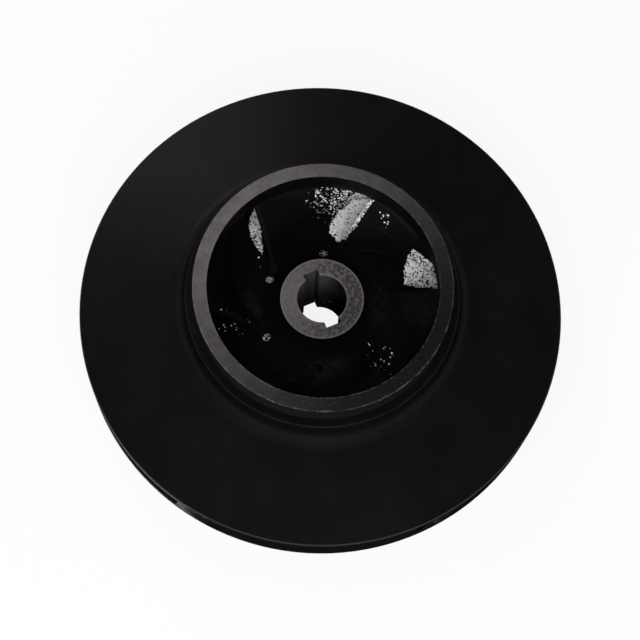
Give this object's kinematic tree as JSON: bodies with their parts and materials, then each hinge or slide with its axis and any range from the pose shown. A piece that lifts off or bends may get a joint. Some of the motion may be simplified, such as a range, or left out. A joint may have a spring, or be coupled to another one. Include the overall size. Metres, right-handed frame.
{
  "type": "pump impeller",
  "caption": "Closed radial pump impeller cast in one piece, with swept vanes between two shrouds, wear rings and a keyed bore.",
  "frame": {"origin": "on the shaft axis, at the rear hub face that the impeller rests on", "axes": "+Z along the shaft axis, out of the eye; +X to the right when seen into the eye"},
  "size_m": [0.315, 0.315, 0.0948],
  "materials": {
    "black_casting": "black dipped coat on sand-cast iron, with bare machined ring, hub and bore faces"
  },
  "bodies": {
    "root": {"impeller": "black_casting"}
  },
  "joints": []
}
